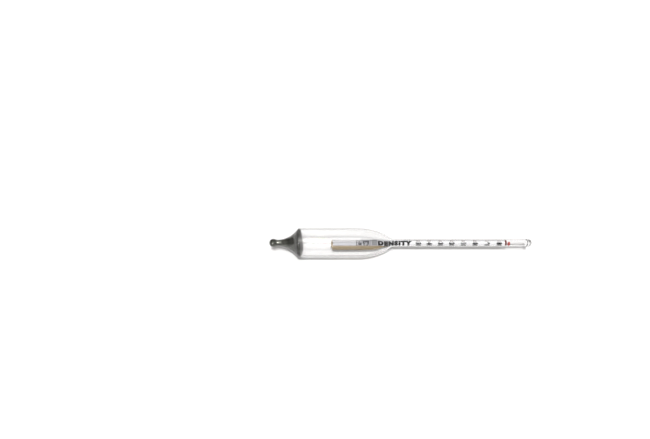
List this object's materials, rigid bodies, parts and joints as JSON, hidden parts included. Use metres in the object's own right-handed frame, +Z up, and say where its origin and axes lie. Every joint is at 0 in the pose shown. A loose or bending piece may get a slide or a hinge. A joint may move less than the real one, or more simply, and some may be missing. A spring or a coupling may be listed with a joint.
{
  "type": "laboratory hydrometer",
  "caption": "Sealed glass specific-gravity hydrometer: shot-weighted bulb with an end knob and a slim stem that holds a rolled printed scale.",
  "frame": {"origin": "under the middle of the instrument's length, on the surface that the bulb rests on", "axes": "+X along the instrument's axis, from the knob to the closed end of the stem; +Z up, away from the surface it lies on"},
  "size_m": [0.165, 0.0184, 0.0183],
  "materials": {
    "clear_glass": "polished, colourless",
    "metal_shot": "dull grey-green fine shot",
    "shot_cement": "dark set cement, mottled",
    "printed_paper": "smooth white paper, black print",
    "tan_paper": "tan paper with a slight gloss",
    "red_cement": "red sealing cement"
  },
  "bodies": {
    "root": {"bulb_glass": "clear_glass", "stem_glass": "clear_glass", "ballast_shot": "metal_shot", "ballast_cement": "shot_cement", "scale_paper": "printed_paper", "paper_liner": "tan_paper", "paper_dab": "red_cement"}
  },
  "joints": []
}
